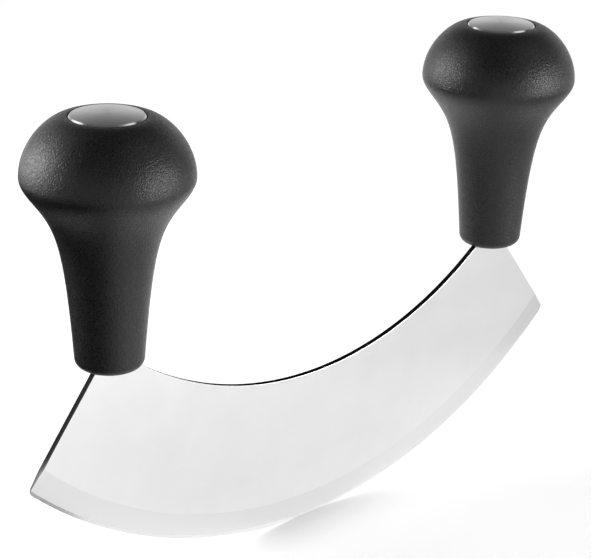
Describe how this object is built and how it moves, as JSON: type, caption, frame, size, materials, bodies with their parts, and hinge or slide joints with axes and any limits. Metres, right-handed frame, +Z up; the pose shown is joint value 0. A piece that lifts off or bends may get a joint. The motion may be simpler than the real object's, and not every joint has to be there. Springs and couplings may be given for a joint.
{
  "type": "mezzaluna",
  "caption": "Crescent mincing blade with an upright knob handle at each end, rocked to and fro on a board.",
  "frame": {"origin": "lowest point of the cutting edge, midway between the handles", "axes": "+X along the blade, from the left handle to the right one, +Y through the blade's thickness, +Z up along the handles"},
  "size_m": [0.179, 0.04, 0.1205],
  "materials": {
    "blade_steel": "fine satin stainless steel",
    "grip_plastic": "black, fine spark-eroded grain, matt",
    "core_plastic": "dark grey structural plastic",
    "cap_steel": "satin stainless steel, turned",
    "fixing_steel": "plain stainless steel",
    "spring_steel": "plain spring steel",
    "seal_rubber": "black rubber"
  },
  "bodies": {
    "root": {"blade": "blade_steel", "tang_stud_left": "fixing_steel", "tang_stud_right": "fixing_steel", "handle_core_left": "core_plastic", "handle_core_right": "core_plastic", "grip_left": "grip_plastic", "grip_right": "grip_plastic", "plain_washer_left": "fixing_steel", "plain_washer_right": "fixing_steel", "spring_washer_left": "spring_steel", "spring_washer_right": "spring_steel", "hex_nut_left": "fixing_steel", "hex_nut_right": "fixing_steel", "cap_seal_left": "seal_rubber", "cap_seal_right": "seal_rubber", "end_cap_left": "cap_steel", "end_cap_right": "cap_steel"}
  },
  "joints": []
}
